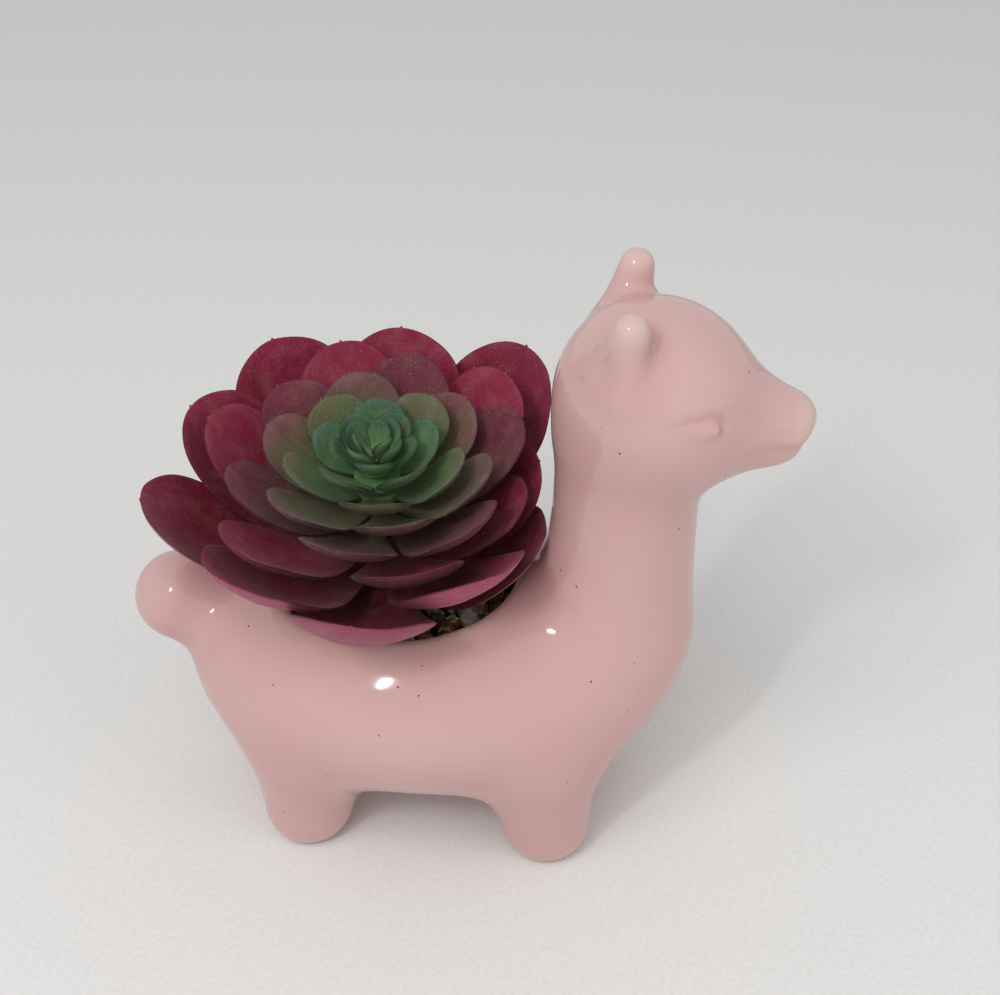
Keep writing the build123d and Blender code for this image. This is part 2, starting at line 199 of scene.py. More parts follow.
def trunk_distance(points):
    """Belly, neck, head and muzzle, which the hollow inside follows too."""
    trunk = melt(
        ellipsoid(points, torso_centre, torso_radii),
        finger(points, chest_centre, throat_centre, chest_radius, throat_radius),
        neck_blend,
    )
    trunk = melt(trunk, ellipsoid(points, head_centre, head_radii), head_blend)
    muzzle = finger(points, muzzle_root, muzzle_tip, muzzle_root_radius, muzzle_tip_radius)
    beyond_nose = (points - np.array(nose_end)) @ np.array(nose_slant)
    return melt(trunk, -melt(-muzzle, -beyond_nose, nose_blend), muzzle_blend)


def animal_distance(points):
    """The whole casting, hollow and open at the back. Both sides are alike."""
    points = points.copy()
    points[..., 1] = np.abs(points[..., 1])
    trunk = trunk_distance(points)
    hollow = trunk + wall
    skin = melt(trunk, ellipsoid(points, lower_lip_centre, lower_lip_radii), lower_lip_blend)
    skin = melt(skin, ellipsoid(points, lid_centre, lid_radii), lid_blend)
    ear = finger(points, ear_root, ear_tip, ear_root_radius, ear_tip_radius)
    web = finger(points, ear_tip, ear_heel, ear_tip_radius, ear_heel_radius)
    skin = melt(skin, melt(ear, web, ear_blend), ear_blend)
    skin = melt(
        skin, finger(points, tail_root, tail_ball, tail_root_radius, tail_ball_radius), tail_blend
    )
    for top_x, foot_x in leg_places:
        top = (top_x, leg_side, leg_top_height)
        foot = (foot_x, leg_side, leg_foot_height)
        skin = melt(skin, finger(points, top, foot, leg_top_radius, leg_foot_radius), leg_blend)
    skin = -melt(-skin, points[..., 2], sole_round)
    for line in (crease_line, lip_line):
        skin = -melt(-skin, groove(points, line), carve_blend)
    mouth_x = (points[..., 0] - mouth_centre_x) / mouth_half_length
    mouth_y = points[..., 1] / mouth_half_width
    oval = np.hypot(mouth_x, mouth_y)
    steep = np.hypot(mouth_x / mouth_half_length, mouth_y / mouth_half_width)
    mouth = oval * (oval - 1) / np.maximum(steep, 1e-9)
    mouth = np.maximum(mouth, mouth_floor - points[..., 2])
    return -melt(-skin, np.minimum(hollow, mouth), lip_round)


def grid_line(low, high, fine_low, fine_high):
    """Grid places along one axis, closer together over the features of the face."""
    places = [low]
    while places[-1] < high:
        fine = fine_low <= places[-1] < fine_high
        places.append(places[-1] + (fine_step if fine else coarse_step))
    return np.array(places)


def skin_mesh(values, lines):
    """Quads on the zero level of a grid of distances: one point in each cell that it crosses."""
    inside = values < 0
    cells = tuple(count - 1 for count in values.shape)
    grid = np.stack(np.meshgrid(*lines, indexing="ij"), axis=-1)
    total = np.zeros(cells + (3,))
    crossings = np.zeros(cells)
    for axis in range(3):
        others = [other for other in range(3) if other != axis]
        for first in (0, 1):
            for second in (0, 1):
                begin = [0, 0, 0]
                begin[others[0]] = first
                begin[others[1]] = second
                near = tuple(slice(b, b + n) for b, n in zip(begin, cells))
                begin[axis] = 1
                far = tuple(slice(b, b + n) for b, n in zip(begin, cells))
                crossed = inside[near] != inside[far]
                gap = np.where(crossed, values[near] - values[far], 1)
                part = (values[near] / gap * crossed)[..., None]
                total += crossed[..., None] * grid[near] + part * (grid[far] - grid[near])
                crossings += crossed
    active = crossings > 0
    number = np.full(cells, -1)
    number[active] = np.arange(active.sum())
    points = total[active] / crossings[active][:, None]
    quads = []
    for axis in range(3):
        one, two = (axis + 1) % 3, (axis + 2) % 3
        near = [slice(1, -1)] * 3
        near[axis] = slice(0, -1)
        far = list(near)
        far[axis] = slice(1, None)
        crossed = inside[tuple(near)] != inside[tuple(far)]
        place = np.argwhere(crossed)
        place[:, one] += 1
        place[:, two] += 1
        solid_first = inside[tuple(near)][crossed]
        around = []
        for back_one, back_two in ((1, 1), (0, 1), (0, 0), (1, 0)):
            cell = place.copy()
            cell[:, one] -= back_one
            cell[:, two] -= back_two
            around.append(number[tuple(cell.T)])
        around = np.stack(around, axis=1)
        quads.append(np.where(solid_first[:, None], around, around[:, ::-1]))
    return points, np.concatenate(quads)


def mesh_object(name, points, faces):
    """A linked, smooth shaded object from arrays of points and faces."""
    mesh = bpy.data.meshes.new(name)
    mesh.from_pydata(np.asarray(points).tolist(), [], np.asarray(faces).tolist())
    mesh.shade_smooth()
    piece = bpy.data.objects.new(name, mesh)
    bpy.context.scene.collection.objects.link(piece)
    return piece


def slope(points, step=0.0002):
    """Distance at each point, its outward direction and how sharply the skin bends there."""
    here = animal_distance(points)
    ahead = []
    bend = -6 * here
    for axis in range(3):
        shift = np.zeros(3)
        shift[axis] = step
        upper = animal_distance(points + shift)
        lower = animal_distance(points - shift)
        ahead.append((upper - lower) / (2 * step))
        bend = bend + upper + lower
    return here, np.stack(ahead, axis=-1), bend / step**2


pot_low, pot_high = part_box("planter_body")
pot_margin = 2.5 * coarse_step
pot_lines = [
    grid_line(low - pot_margin, high + pot_margin, fine_low, fine_high)
    for low, high, fine_low, fine_high in zip(pot_low, pot_high, fine_from, fine_to)
]
pot_grid = np.stack(np.meshgrid(*pot_lines, indexing="ij"), axis=-1)
pot_points, pot_quads = skin_mesh(animal_distance(pot_grid), pot_lines)

# The points slide onto the skin, then keep how sharply it bends, evened out with neighbours
for _ in range(settle_passes):
    miss, outward, bend = slope(pot_points)
    steepness = np.maximum((outward**2).sum(-1), 0.25)
    move = np.clip(miss / steepness, -coarse_step / 3, coarse_step / 3)
    pot_points = pot_points - move[:, None] * outward
pot = mesh_object("glazed_animal", pot_points, pot_quads)
bend = np.clip(slope(pot_points, run_step)[2] / run_sharpness, -1, 1)
neighbours = np.concatenate([pot_quads, np.roll(pot_quads, 1, axis=1)], axis=1).reshape(-1, 2, 4)
one, other = neighbours[:, 0].ravel(), neighbours[:, 1].ravel()
beside = np.bincount(one, minlength=len(bend)) + np.bincount(other, minlength=len(bend))
for _ in range(run_passes):
    total = np.bincount(one, bend[other], len(bend)) + np.bincount(other, bend[one], len(bend))
    bend = (bend + total / beside) / 2
glaze_run = pot.data.attributes.new("glaze_run", "FLOAT", "POINT")
glaze_run.data.foreach_set("value", bend.astype(np.float32))


class Finish:
    """A named material whose nodes are wired to one Principled shader."""

    def __init__(self, name, roughness=0.5):
        self.material = bpy.data.materials.new(name)
        self.material.use_nodes = True
        self.tree = self.material.node_tree
        self.shader = self.tree.nodes["Principled BSDF"]
        self.shader.inputs["Roughness"].default_value = roughness

    def node(self, kind, **settings):
        made = self.tree.nodes.new(kind)
        for name, value in settings.items():
            setattr(made, name, value)
        return made

    def wire(self, source, target):
        self.tree.links.new(source, target)

    def place(self):
        return self.node("ShaderNodeTexCoord").outputs["Object"]

    def noise(self, scale, detail=3.0, where=None):
        made = self.node("ShaderNodeTexNoise")
        made.inputs["Scale"].default_value = scale
        made.inputs["Detail"].default_value = detail
        self.wire(where or self.place(), made.inputs["Vector"])
        return made.outputs["Fac"]

    def attribute(self, name):
        return self.node("ShaderNodeAttribute", attribute_name=name).outputs["Fac"]

    def map_range(self, value, low, high, to_low=0.0, to_high=1.0):
        made = self.node("ShaderNodeMapRange", interpolation_type="SMOOTHSTEP")
        self.wire(value, made.inputs["Value"])
        made.inputs["From Min"].default_value = low
        made.inputs["From Max"].default_value = high
        made.inputs["To Min"].default_value = to_low
        made.inputs["To Max"].default_value = to_high
        return made.outputs["Result"]

    def math(self, operation, one, other):
        made = self.node("ShaderNodeMath", operation=operation)
        for socket, value in zip(made.inputs, (one, other)):
            if isinstance(value, (int, float)):
                socket.default_value = value
            else:
                self.wire(value, socket)
        return made.outputs["Value"]

    def mix(self, share, one, other):
        made = self.node("ShaderNodeMix", data_type="RGBA")
        for name, value in (("Factor_Float", share), ("A_Color", one), ("B_Color", other)):
            socket = next(s for s in made.inputs if s.identifier == name)
            if isinstance(value, tuple):
                socket.default_value = (*value, 1.0)
            elif isinstance(value, (int, float)):
                socket.default_value = value
            else:
                self.wire(value, socket)
        return next(s for s in made.outputs if s.identifier == "Result_Color")

    def bump(self, height, depth, strength=1.0):
        made = self.node("ShaderNodeBump")
        made.inputs["Distance"].default_value = depth
        made.inputs["Strength"].default_value = strength
        self.wire(height, made.inputs["Height"])
        self.wire(made.outputs["Normal"], self.shader.inputs["Normal"])


def tint(red, green, blue):
    """A colour given as it looks on screen, 0 to 255, in the linear values of a shader."""
    return tuple(((level / 255 + 0.055) / 1.055) ** 2.4 for level in (red, green, blue))


glaze_pink = tint(203, 162, 159)
glaze_pooled = tint(190, 142, 141)
glaze_thin = tint(212, 182, 174)
bare_clay = tint(222, 212, 196)
iron_speck = tint(88, 52, 48)
speck_scale = 250.0
speck_rarity = 0.72
glaze_index = 1.52
bare_height = 0.0005
bare_fade = 0.0003
bare_unevenness = 0.0006
bare_roughness = 0.6

glaze = Finish("pink_glaze")
cloud = glaze.map_range(glaze.noise(26.0, 2.0), 0.35, 0.7, 0.0, 0.30)
coat = glaze.mix(cloud, glaze_pink, glaze_pooled)
run = glaze.attribute("glaze_run")
coat = glaze.mix(glaze.map_range(run, 0.12, 0.80, 0.0, 0.85), coat, glaze_thin)
coat = glaze.mix(glaze.map_range(run, -0.02, -0.50, 0.0, 0.8), coat, glaze_pooled)
specks = glaze.node("ShaderNodeTexVoronoi")
specks.inputs["Scale"].default_value = speck_scale
glaze.wire(glaze.place(), specks.inputs["Vector"])
speck_size = glaze.map_range(specks.outputs["Distance"], 0.075, 0.04)
speck_pick = glaze.node("ShaderNodeSeparateColor")
glaze.wire(specks.outputs["Color"], speck_pick.inputs["Color"])
speck_kept = glaze.math("GREATER_THAN", speck_pick.outputs["Red"], speck_rarity)
coat = glaze.mix(glaze.math("MULTIPLY", speck_size, speck_kept), coat, iron_speck)
height = glaze.node("ShaderNodeSeparateXYZ")
glaze.wire(glaze.place(), height.inputs["Vector"])
wander = glaze.math("MULTIPLY", glaze.noise(400.0), bare_unevenness)
edge = glaze.math("ADD", height.outputs["Z"], wander)
bare = glaze.map_range(edge, bare_height + bare_fade, bare_height)
coat = glaze.mix(bare, coat, bare_clay)
glaze.wire(coat, glaze.shader.inputs["Base Color"])
gloss = glaze.map_range(glaze.noise(90.0), 0.3, 0.8, 0.085, 0.14)
rough = glaze.math("ADD", gloss, glaze.math("MULTIPLY", bare, bare_roughness))
glaze.wire(rough, glaze.shader.inputs["Roughness"])
glaze.shader.inputs["IOR"].default_value = glaze_index
glaze.bump(glaze.noise(55.0, 2.0), 0.0004, 0.35)

pot.data.materials.append(glaze.material)
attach(pot, "pot")
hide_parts("planter_body")


# A block of floral foam is wedged in the belly. It is cut by hand and holds the stake of the plant.
# Its brown is painted dark as shade in the gaps between the stones, with painted shade in each pore
# and soft darker blotches.
# Painted shade: the foam is kept dark brown so that the gaps between the stones look shaded.
foam_gap_shade_colour = tint(74, 66, 54)
foam_shadow = tint(44, 38, 32)
pore_scale = 1400.0

foam = Finish("floral_foam", roughness=0.95)
cells = foam.node("ShaderNodeTexVoronoi")
cells.inputs["Scale"].default_value = pore_scale
foam.wire(foam.place(), cells.inputs["Vector"])
pores = foam.map_range(cells.outputs["Distance"], 0.15, 0.6)
# Painted shade in the pits of the pores, times soft darker blotches, picks between the two browns.
pore_shade_and_stain = foam.math("MULTIPLY", pores, foam.map_range(foam.noise(120.0), 0.3, 0.7))
foam.wire(foam.mix(pore_shade_and_stain, foam_shadow, foam_gap_shade_colour), foam.shader.inputs["Base Color"])
foam.bump(pores, 0.0005, 0.8)
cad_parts["foam_plug"].data.materials.clear()
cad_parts["foam_plug"].data.materials.append(foam.material)


# Crushed stones of three kinds lie loose over the foam: dark brown, translucent amber and pale
# quartz. They are set with a clear glue, so they look wet.
bed_half_length = 0.0247
bed_half_width = 0.0195
bed_height = 0.0527
stone_spacing = 0.0030
stone_small = 0.0016
stone_large = 0.0027
stone_lift = 0.0016
stone_chip = 0.0011
chip_scale = 420.0
stone_density = 400000.0
bed_corners = 48
stem_foot = (-0.01675, 0.0082)
stem_room = 0.0058
stone_seed = 7
heap_seed = 3
turn_seed = 1
size_seed = 2
tone_seed = 5


def node_tree(name, inputs):
    """A geometry node tree with the given inputs, and one geometry in and out."""
    tree = bpy.data.node_groups.new(name, "GeometryNodeTree")
    tree.interface.new_socket("Geometry", in_out="INPUT", socket_type="NodeSocketGeometry")
    for label, kind in inputs:
        tree.interface.new_socket(label, in_out="INPUT", socket_type="NodeSocket" + kind)
    tree.interface.new_socket("Geometry", in_out="OUTPUT", socket_type="NodeSocketGeometry")
    given = tree.nodes.new("NodeGroupInput").outputs
    result = tree.nodes.new("NodeGroupOutput").inputs["Geometry"]
    return tree, given, result


def add_node(tree, kind, settings=None, **wires):
    """Add a node, wire or set its inputs by name (underscores for spaces), and return it."""
    made = tree.nodes.new(kind)
    for name, value in (settings or {}).items():
        setattr(made, name, value)
    for name, value in wires.items():
        wanted = name.replace("_", " ")
        found = [s for s in made.inputs if s.name == wanted and s.enabled]
        socket = found[0] if found else made.inputs[int(name[1:])]
        if isinstance(value, bpy.types.NodeSocket):
            tree.links.new(value, socket)
        else:
            socket.default_value = value
    return made


def step(tree, kind, settings=None, **wires):
    """Add a node in the same way, and return the first of its outputs that is in use."""
    return next(s for s in add_node(tree, kind, settings, **wires).outputs if s.enabled)


def calculate(tree, operation, *values):
    """One step of arithmetic in a tree, on sockets or plain numbers."""
    wires = {f"i{place}": value for place, value in enumerate(values)}
    return step(tree, "ShaderNodeMath", {"operation": operation}, **wires)


def chance(tree, seed, low, high):
    """A different number, or set of three, from low to high for each stone or leaf."""
    kind = "FLOAT_VECTOR" if isinstance(low, tuple) else "FLOAT"
    made = add_node(tree, "FunctionNodeRandomValue", {"data_type": kind}, Seed=seed)
    for socket, value in zip([s for s in made.inputs if s.enabled], (low, high)):
        socket.default_value = value
    return next(s for s in made.outputs if s.enabled)


def uneven(tree, scale, detail, reach):
    """A smooth offset that changes from place to place, as far as half of reach each way."""
    cloudy = add_node(tree, "ShaderNodeTexNoise", Scale=scale, Detail=detail).outputs["Color"]
    centred = step(
        tree, "ShaderNodeVectorMath", {"operation": "SUBTRACT"}, i0=cloudy, i1=(0.5, 0.5, 0.5)
    )
    return step(tree, "ShaderNodeVectorMath", {"operation": "SCALE"}, i0=centred, Scale=reach)


def grown(name, tree, values):
    """Run a tree on an empty mesh with the given inputs, and keep the plain mesh it makes."""
    seedling = bpy.data.objects.new(name + "_seedling", bpy.data.meshes.new(name + "_seedling"))
    bpy.context.scene.collection.objects.link(seedling)
    modifier = seedling.modifiers.new("grow", "NODES")
    modifier.node_group = tree
    for socket in tree.interface.items_tree:
        if socket.in_out == "INPUT" and socket.name in values:
            modifier[socket.identifier] = values[socket.name]
    mesh = bpy.data.meshes.new_from_object(
        seedling.evaluated_get(bpy.context.evaluated_depsgraph_get())
    )
    bpy.data.objects.remove(seedling)
    mesh.name = name
    piece = bpy.data.objects.new(name, mesh)
    bpy.context.scene.collection.objects.link(piece)
    return piece


gravel_tree, given, gravel_result = node_tree(
    "crushed_gravel",
    (
        ("Spacing", "Float"),
        ("Kind from", "Float"),
        ("Kind to", "Float"),
        ("Seed", "Int"),
        ("Finish", "Material"),
    ),
)
disc = step(
    gravel_tree, "GeometryNodeMeshCircle", {"fill_type": "NGON"}, Vertices=bed_corners, Radius=1.0
)
bed = step(
    gravel_tree,
    "GeometryNodeTransform",
    Geometry=disc,
    Translation=(mouth_centre_x, 0, bed_height),
    Scale=(bed_half_length, bed_half_width, 1),
)
scatter = step(
    gravel_tree,
    "GeometryNodeDistributePointsOnFaces",
    {"distribute_method": "POISSON"},
    Mesh=bed,
    Distance_Min=given["Spacing"],
    Density_Max=stone_density,
    Seed=given["Seed"],
)
from_stem = step(
    gravel_tree,
    "ShaderNodeVectorMath",
    {"operation": "DISTANCE"},
    i0=step(gravel_tree, "GeometryNodeInputPosition"),
    i1=(*stem_foot, bed_height),
)
kind = chance(gravel_tree, given["Seed"], 0.0, 1.0)
too_low = calculate(gravel_tree, "LESS_THAN", kind, given["Kind from"])
too_high = calculate(gravel_tree, "GREATER_THAN", kind, given["Kind to"])
at_stem = calculate(gravel_tree, "LESS_THAN", from_stem, stem_room)
unwanted = calculate(gravel_tree, "ADD", too_low, too_high)
unwanted = calculate(gravel_tree, "ADD", unwanted, at_stem)
kept = step(
    gravel_tree,
    "GeometryNodeDeleteGeometry",
    {"domain": "POINT"},
    Geometry=scatter,
    Selection=unwanted,
)
heap = chance(gravel_tree, heap_seed, (0, 0, -stone_lift), (0, 0, stone_lift))
kept = step(gravel_tree, "GeometryNodeSetPosition", Geometry=kept, Offset=heap)
pebble = step(gravel_tree, "GeometryNodeMeshIcoSphere", Radius=1.0, Subdivisions=2)
stones = step(
    gravel_tree,
    "GeometryNodeInstanceOnPoints",
    Points=kept,
    Instance=pebble,
    Rotation=chance(gravel_tree, turn_seed, (0, 0, 0), (math.tau,) * 3),
    Scale=chance(gravel_tree, size_seed, (stone_small,) * 3, (stone_large,) * 3),
)
stones = step(
    gravel_tree,
    "GeometryNodeStoreNamedAttribute",
    {"data_type": "FLOAT", "domain": "INSTANCE"},
    Geometry=stones,
    Name="stone_tone",
    Value=chance(gravel_tree, tone_seed, 0.0, 1.0),
)
stones = step(gravel_tree, "GeometryNodeRealizeInstances", Geometry=stones)
chips = uneven(gravel_tree, chip_scale, 1.0, 2 * stone_chip)
stones = step(gravel_tree, "GeometryNodeSetPosition", Geometry=stones, Offset=chips)
stones = step(gravel_tree, "GeometryNodeSetMaterial", Geometry=stones, Material=given["Finish"])
gravel_tree.links.new(stones, gravel_result)

dark_tones = (tint(36, 28, 24), tint(84, 66, 52), tint(128, 108, 88))
amber_tones = (tint(112, 74, 36), tint(178, 134, 72), tint(222, 190, 126))
white_tones = (tint(158, 150, 136), tint(212, 204, 190), tint(242, 238, 228))

# Each kind: node, share of the stones from and to, its deep, common and bright colours, and how
# far light goes through it
stone_kinds = (
    ("gravel_dark", 0.0, 0.50, dark_tones, 0.0),
    ("gravel_amber", 0.50, 0.80, amber_tones, 0.25),
    ("gravel_white", 0.80, 1.0, white_tones, 0.15),
)
for node, share_from, share_to, (deep, common, bright), clear in stone_kinds:
    stone = Finish(node.replace("gravel", "stone"), roughness=0.18)
    veins = stone.noise(620.0, 4.0)
    base = stone.mix(stone.attribute("stone_tone"), deep, common)
    base = stone.mix(stone.map_range(veins, 0.5, 0.72, 0.0, 0.8), base, bright)
    stone.wire(base, stone.shader.inputs["Base Color"])
    stone.shader.inputs["Transmission Weight"].default_value = clear
    stone.shader.inputs["Coat Weight"].default_value = 0.6
    stone.shader.inputs["Coat Roughness"].default_value = 0.05
    stone.bump(stone.noise(1500.0, 3.0), 0.0003, 0.5)
    stones_piece = grown(
        node.replace("gravel", "gravel_stones"),
        gravel_tree,
        {
            "Spacing": stone_spacing,
            "Kind from": share_from,
            "Kind to": share_to,
            "Seed": stone_seed,
            "Finish": stone.material,
        },
    )
    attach(stones_piece, "pot")
    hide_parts(node)


# The stem is an injection moulded pick in dull green plastic. Its stake goes into the foam, its
# collar sits on it, and the hubs of the leaf layers are pressed over its pin.
stem_green = tint(86, 92, 62)
stem_dark = tint(58, 62, 44)

stem_plastic = Finish("stem_plastic", roughness=0.48)
streaks = stem_plastic.map_range(stem_plastic.noise(260.0, 4.0), 0.35, 0.7)
stem_colour = stem_plastic.mix(streaks, stem_dark, stem_green)
stem_plastic.wire(stem_colour, stem_plastic.shader.inputs["Base Color"])
stem_plastic.bump(stem_plastic.noise(900.0), 0.0002, 0.4)
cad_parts["stem"].data.materials.clear()
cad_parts["stem"].data.materials.append(stem_plastic.material)


# The rosette is seven layers of moulded leaves and a heart of small leaflets that caps the pin.
# Each layer is one casting in soft vinyl, a ring hub with cupped leaves. The colour is sprayed
# on after moulding, raspberry outside and green at the heart, and dusted with a pale powder.
stem_seat = (*stem_foot, 0.0495)
stem_lean = math.radians(10)
collar_height = 0.0090
hub_pitch = 0.0042
hub_radius = 0.0042
hub_bore = 0.0017
hub_edge = 0.0004
hub_sides = 32
hub_edge_points = 3
root_reach = 0.0032
root_half_width = 0.0019
leaf_thickness = 0.00125
leaf_point = 0.0010
leaf_point_part = 5
leaf_point_from = 0.995
leaf_point_narrowness = 7
leaf_swell = 1.3
leaf_edge_share = 0.4
leaf_tip_taper = 12
leaf_widest = 0.66
leaf_roundness = 2.5
leaf_steepening = 1.85
leaf_ripple = 0.0022
leaf_ripple_least = 0.35
leaf_ripple_scale = 55.0
leaf_length_range = (0.97, 1.0)
leaf_width_range = (0.95, 1.0)
leaf_roll = 0.06
leaf_nod = 0.035
width_seed = 11
roll_seed = 12
nod_seed = 13
neck_distance = 0.0359
neck_layer_gap = 0.0018
neck_side_least = 0.5
whorl_reach = 0.0490
whorl_tip_height = 0.0370
whorl_half_width = 0.0155
whorl_cup = 0.0052
leaf_rows = 34
leaf_columns = 22


def leaf_template(name, root, run, rise, curl, half_width, cup):
    """One closed leaf along +X from its root, with attributes that say where on it a point is."""
    start = math.atan2(rise, run) - curl
    radius = math.hypot(rise, run) / 2 / math.sin(curl)
    narrow = min(root_half_width, half_width / 2)
    along = np.sin(np.linspace(0, math.pi / 2, leaf_rows))
    swell = np.sin(np.clip(along / leaf_widest, 0, 1) * math.pi / 2) ** leaf_swell
    beyond = np.clip((along - leaf_widest) / (1 - leaf_widest), 0, 1)
    close = np.sqrt(np.clip(1 - beyond**leaf_roundness, 0, 1))
    width = (narrow + (half_width - narrow) * swell) * close
    heading = start + 2 * curl * along
    centre_x = root + radius * (np.sin(heading) - math.sin(start))
    centre_z = radius * (math.cos(start) - np.cos(heading))
    across = np.sin(np.linspace(-1, 1, leaf_columns) * math.pi / 2)
    point = np.clip(1 - np.abs(across) * leaf_point_narrowness, 0, 1)[None, :]
    point = point * (along[:, None] > leaf_point_from)
    point = point * min(leaf_point, half_width / leaf_point_part)
    thick = leaf_thickness * min(1, half_width / whorl_half_width + leaf_edge_share)
    thick = thick * np.sqrt(np.clip(1 - across**4, 0, 1))[None, :]
    thick = thick * np.clip((1 - along[:, None]) * leaf_tip_taper, 0, 1) ** 0.5
    hollow = cup * (width[:, None] / half_width) ** 2 * across[None, :] ** 2
    skins = []
    for lift in (-thick / 2, thick / 2):
        up = hollow + lift
        x = centre_x[:, None] - np.sin(heading)[:, None] * up + np.cos(heading)[:, None] * point
        y = width[:, None] * across[None, :]
        z = centre_z[:, None] + np.cos(heading)[:, None] * up + np.sin(heading)[:, None] * point
        skins.append(np.stack([x, y, z], axis=-1).reshape(-1, 3))
    count = leaf_rows * leaf_columns
    corner = np.arange(leaf_rows - 1)[:, None] * leaf_columns + np.arange(leaf_columns - 1)
    corner = corner.ravel()
    sheet = np.stack([corner, corner + leaf_columns, corner + leaf_columns + 1, corner + 1], axis=1)
    border = list(range(leaf_columns))
    border += [row * leaf_columns + leaf_columns - 1 for row in range(1, leaf_rows)]
    border += [count - leaf_columns + column for column in range(leaf_columns - 2, -1, -1)]
    border += [row * leaf_columns for row in range(leaf_rows - 2, 0, -1)]
    border = np.array(border)
    after = np.roll(border, -1)
    rim = np.stack([border, after, after + count, border + count], axis=1)
    faces = np.concatenate([sheet, sheet[:, ::-1] + count, rim])
    leaf = mesh_object(name, np.concatenate(skins), faces)
    for label, value in (
        ("along", np.repeat(along[:, None], leaf_columns, axis=1)),
        ("across", np.repeat(across[None, :], leaf_rows, axis=0)),
        ("inward", width[:, None] * (1 - np.abs(across))[None, :]),
    ):
        values = np.concatenate([value.ravel()] * 2).astype(np.float32)
        leaf.data.attributes.new(label, "FLOAT", "POINT").data.foreach_set("value", values)
    upper = np.zeros(len(faces), np.float32)
    upper[len(sheet) : 2 * len(sheet)] = 1
    leaf.data.attributes.new("upper", "FLOAT", "FACE").data.foreach_set("value", upper)
    return leaf


whorl_tree, given, whorl_result = node_tree(
    "leaf_whorl",
    (
        ("Leaf", "Object"),
        ("Leaves", "Int"),
        ("First azimuth", "Float"),
        ("Reach", "Float"),
        ("Neck distance", "Float"),
        ("Root height", "Float"),
        ("Hub radius", "Float"),
        ("Hub height", "Float"),
        ("Ripple", "Float"),
        ("Seed", "Int"),
        ("Finish", "Material"),
    ),
)
root_place = step(whorl_tree, "ShaderNodeCombineXYZ", Z=given["Root height"])
ring = step(whorl_tree, "GeometryNodePoints", Count=given["Leaves"], Position=root_place)
index = step(whorl_tree, "GeometryNodeInputIndex")
share = calculate(whorl_tree, "DIVIDE", index, given["Leaves"])
azimuth = calculate(whorl_tree, "MULTIPLY_ADD", share, math.tau, given["First azimuth"])

# A leaf that points to the neck is shortened, and lies lower for it
toward = calculate(whorl_tree, "COSINE", azimuth)
toward = calculate(whorl_tree, "MAXIMUM", toward, neck_side_least)
room = calculate(whorl_tree, "DIVIDE", given["Neck distance"], toward)
room = calculate(whorl_tree, "DIVIDE", room, given["Reach"])
room = calculate(whorl_tree, "MINIMUM", room, 1.0)
varied = chance(whorl_tree, given["Seed"], *leaf_length_range)
length = calculate(whorl_tree, "MULTIPLY", room, varied)
stretch = step(
    whorl_tree,
    "ShaderNodeCombineXYZ",
    X=length,
    Y=chance(whorl_tree, width_seed, *leaf_width_range),
    Z=calculate(whorl_tree, "POWER", length, leaf_steepening),
)
heading = step(
    whorl_tree,
    "ShaderNodeCombineXYZ",
    X=chance(whorl_tree, roll_seed, -leaf_roll, leaf_roll),
    Y=chance(whorl_tree, nod_seed, -leaf_nod, leaf_nod),
    Z=azimuth,
)
leaf_source = add_node(whorl_tree, "GeometryNodeObjectInfo", Object=given["Leaf"])
leaves = step(
    whorl_tree,
    "GeometryNodeInstanceOnPoints",
    Points=ring,
    Instance=leaf_source.outputs["Geometry"],
    Rotation=heading,
    Scale=stretch,
)
leaves = step(
    whorl_tree,
    "GeometryNodeStoreNamedAttribute",
    {"data_type": "FLOAT", "domain": "INSTANCE"},
    Geometry=leaves,
    Name="leaf_tone",
    Value=chance(whorl_tree, given["Seed"], 0.0, 1.0),
)
leaves = step(whorl_tree, "GeometryNodeRealizeInstances", Geometry=leaves)
way = step(whorl_tree, "GeometryNodeInputNamedAttribute", {"data_type": "FLOAT"}, Name="along")
depth = calculate(whorl_tree, "MULTIPLY", way, given["Ripple"])
waves = uneven(whorl_tree, leaf_ripple_scale, 1.5, depth)
leaves = step(whorl_tree, "GeometryNodeSetPosition", Geometry=leaves, Offset=waves)

# The hub ring, with rounded edges, that the leaves grow from
hub_middle = calculate(whorl_tree, "MULTIPLY_ADD", given["Hub radius"], 0.5, hub_bore / 2)
hub_wall = calculate(whorl_tree, "SUBTRACT", given["Hub radius"], hub_bore)
hub_path = step(
    whorl_tree, "GeometryNodeCurvePrimitiveCircle", Resolution=hub_sides, Radius=hub_middle
)
hub_section = step(
    whorl_tree,
    "GeometryNodeCurvePrimitiveQuadrilateral",
    Width=given["Hub height"],
    Height=hub_wall,
)
hub_section = step(
    whorl_tree,
    "GeometryNodeFilletCurve",
    {"mode": "POLY"},
    Curve=hub_section,
    Count=hub_edge_points,
    Radius=hub_edge,
)
hub = step(whorl_tree, "GeometryNodeCurveToMesh", Curve=hub_path, Profile_Curve=hub_section)
hub = step(whorl_tree, "GeometryNodeTransform", Geometry=hub, Translation=root_place)
hub = step(
    whorl_tree,
    "GeometryNodeStoreNamedAttribute",
    {"data_type": "FLOAT", "domain": "POINT"},
    Geometry=hub,
    Name="inward",
    Value=1.0,
)
casting = add_node(whorl_tree, "GeometryNodeJoinGeometry")
whorl_tree.links.new(leaves, casting.inputs["Geometry"])
whorl_tree.links.new(hub, casting.inputs["Geometry"])
casting = step(
    whorl_tree,
    "GeometryNodeTransform",
    Geometry=casting.outputs["Geometry"],
    Translation=stem_seat,
    Rotation=(stem_lean, 0, 0),
)
casting = step(whorl_tree, "GeometryNodeSetShadeSmooth", Geometry=casting)
casting = step(whorl_tree, "GeometryNodeSetMaterial", Geometry=casting, Material=given["Finish"])
whorl_tree.links.new(casting, whorl_result)


